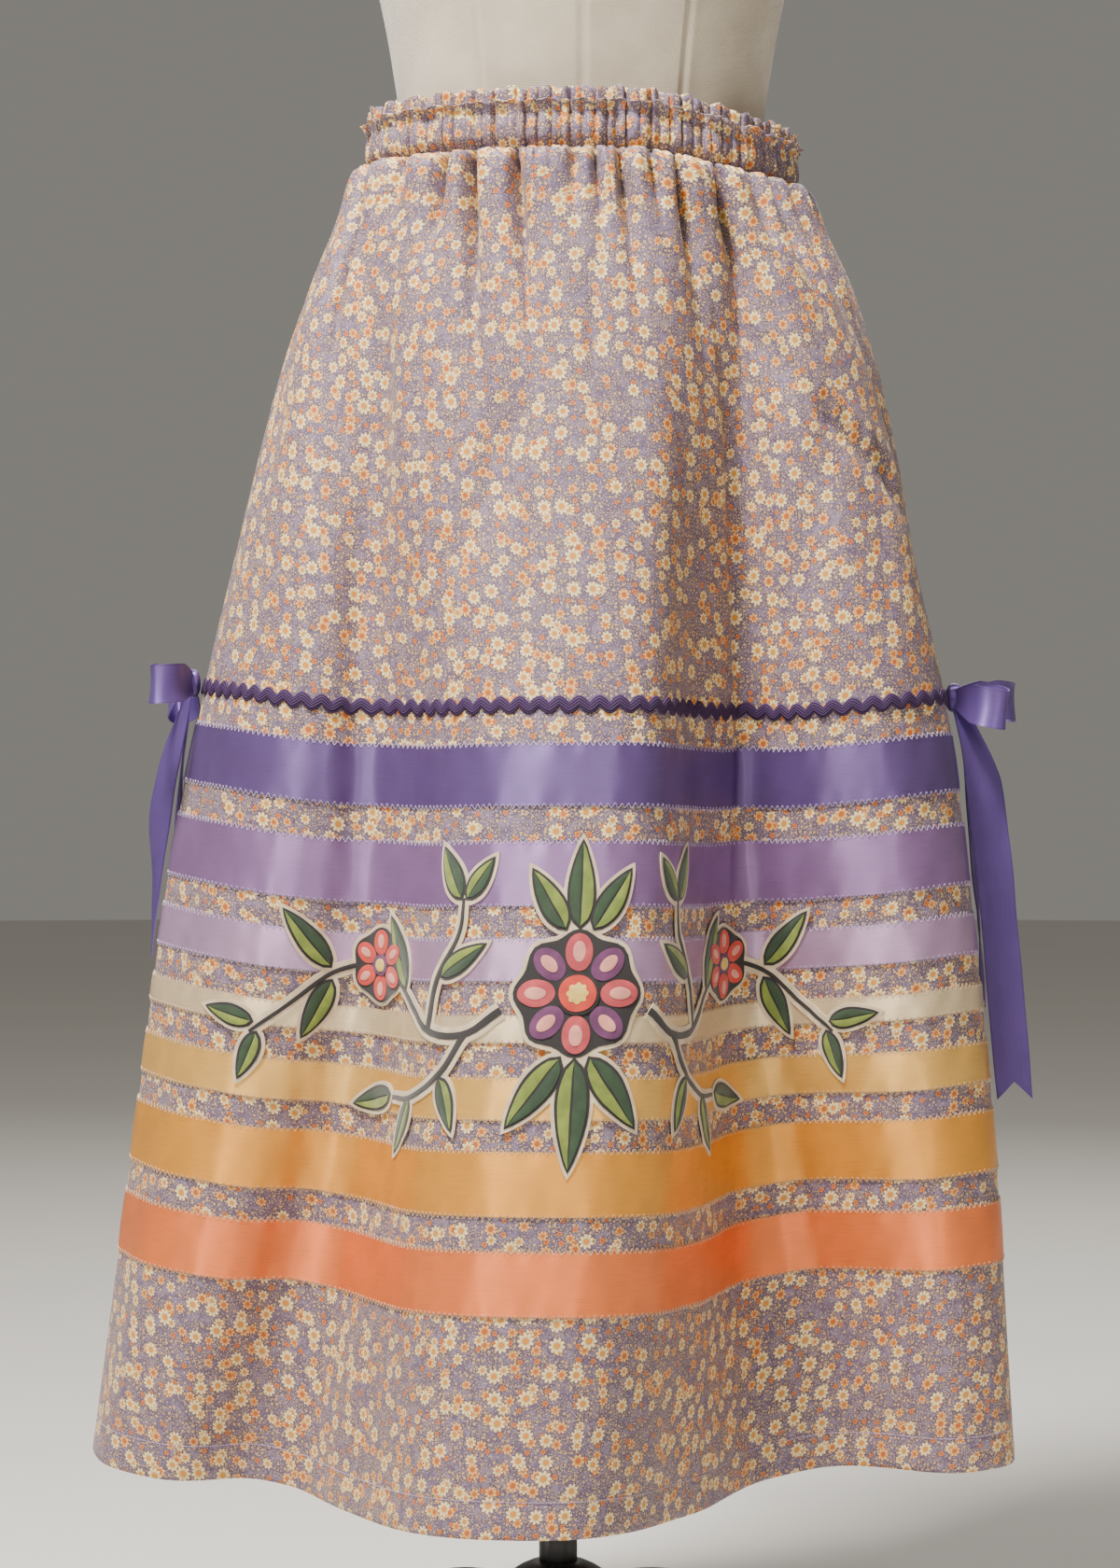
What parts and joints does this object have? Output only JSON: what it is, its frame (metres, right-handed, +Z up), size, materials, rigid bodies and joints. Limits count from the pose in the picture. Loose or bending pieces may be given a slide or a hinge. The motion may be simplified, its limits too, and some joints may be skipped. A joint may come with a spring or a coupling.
{
  "type": "ribbon skirt on a dress form with a stand",
  "caption": "Long gathered skirt with satin ribbons, rick-rack, applique and side bows, worn by a limbless dress form on a pole stand.",
  "frame": {"origin": "on the floor under the middle of the pole", "axes": "+Z up, the skirt's front faces -Y, +X is the viewer's right"},
  "size_m": [0.5902, 0.3622, 1.4764],
  "materials": {
    "printed_cotton": "lavender cotton with a small flower print",
    "rick_rack_braid": "woven wavy braid",
    "purple_satin": "satin ribbon",
    "lavender_satin": "satin ribbon",
    "light_lavender_satin": "satin ribbon",
    "cream_satin": "satin ribbon",
    "light_gold_satin": "satin ribbon",
    "gold_satin": "satin ribbon",
    "coral_satin": "satin ribbon",
    "applique_cloth": "fused cotton applique",
    "bow_satin": "satin ribbon",
    "form_cover": "plain knitted cover",
    "black_steel": "satin black paint"
  },
  "bodies": {
    "root": {"panel_front": "printed_cotton", "casing_front": "printed_cotton", "rick_rack_front": "rick_rack_braid", "ribbon_purple_front": "purple_satin", "ribbon_lavender_front": "lavender_satin", "ribbon_light_lavender_front": "light_lavender_satin", "ribbon_cream_front": "cream_satin", "ribbon_light_gold_front": "light_gold_satin", "ribbon_gold_front": "gold_satin", "ribbon_coral_front": "coral_satin", "panel_back": "printed_cotton", "casing_back": "printed_cotton", "rick_rack_back": "rick_rack_braid", "ribbon_purple_back": "purple_satin", "ribbon_lavender_back": "lavender_satin", "ribbon_light_lavender_back": "light_lavender_satin", "ribbon_cream_back": "cream_satin", "ribbon_light_gold_back": "light_gold_satin", "ribbon_gold_back": "gold_satin", "ribbon_coral_back": "coral_satin", "applique_left": "applique_cloth", "applique_right": "applique_cloth", "applique_rosette": "applique_cloth", "bow_left_knot": "bow_satin", "bow_left_loop_front": "bow_satin", "bow_left_loop_rear": "bow_satin", "bow_left_tail_front": "bow_satin", "bow_left_tail_rear": "bow_satin", "bow_right_knot": "bow_satin", "bow_right_loop_front": "bow_satin", "bow_right_loop_rear": "bow_satin", "bow_right_tail_front": "bow_satin", "bow_right_tail_rear": "bow_satin", "dress_form": "form_cover", "neck_cap": "black_steel", "stand_pole": "black_steel", "stand_hub": "black_steel", "stand_pedal": "black_steel", "stand_leg_1": "black_steel", "stand_leg_2": "black_steel", "stand_leg_3": "black_steel", "stand_leg_4": "black_steel", "stand_foot_1": "black_steel", "stand_foot_2": "black_steel", "stand_foot_3": "black_steel", "stand_foot_4": "black_steel"}
  },
  "joints": []
}
